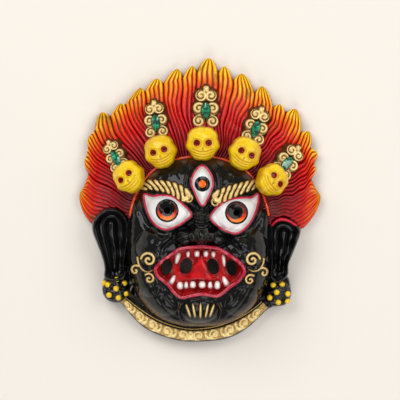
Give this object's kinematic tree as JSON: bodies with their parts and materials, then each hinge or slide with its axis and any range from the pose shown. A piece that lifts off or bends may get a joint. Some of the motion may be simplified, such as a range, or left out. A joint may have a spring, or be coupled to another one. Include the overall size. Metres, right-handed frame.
{
  "type": "guardian mask wall hanging",
  "caption": "Cast wall mask of a wrathful guardian: bulging eyes and a third eye, open fanged mouth, long ears, flaming hair, a crown of skulls with set stones, hollow at the back.",
  "frame": {"origin": "on the flat back rim's plane, under the middle of the mask's outline", "axes": "+Y towards the top of the crown, +X towards the viewer's right, +Z out of the face; the mask lies on its back"},
  "size_m": [0.1447, 0.17, 0.0478],
  "materials": {
    "painted_resin": "gloss black lacquer on cast resin",
    "green_stone": "polished green imitation stone",
    "flame_paint": "deep red running to orange and yellow at the flames' tips",
    "skull_paint": "glossy yellow with ochre shading",
    "gilding": "antique gold paint with a dark wash",
    "bone_paint": "glossy white for teeth and eyes",
    "lip_paint": "glossy crimson"
  },
  "bodies": {
    "root": {"mask": "painted_resin", "gem_far_left": "green_stone", "gem_left": "green_stone", "gem_middle": "green_stone", "gem_right": "green_stone", "gem_far_right": "green_stone"}
  },
  "joints": []
}
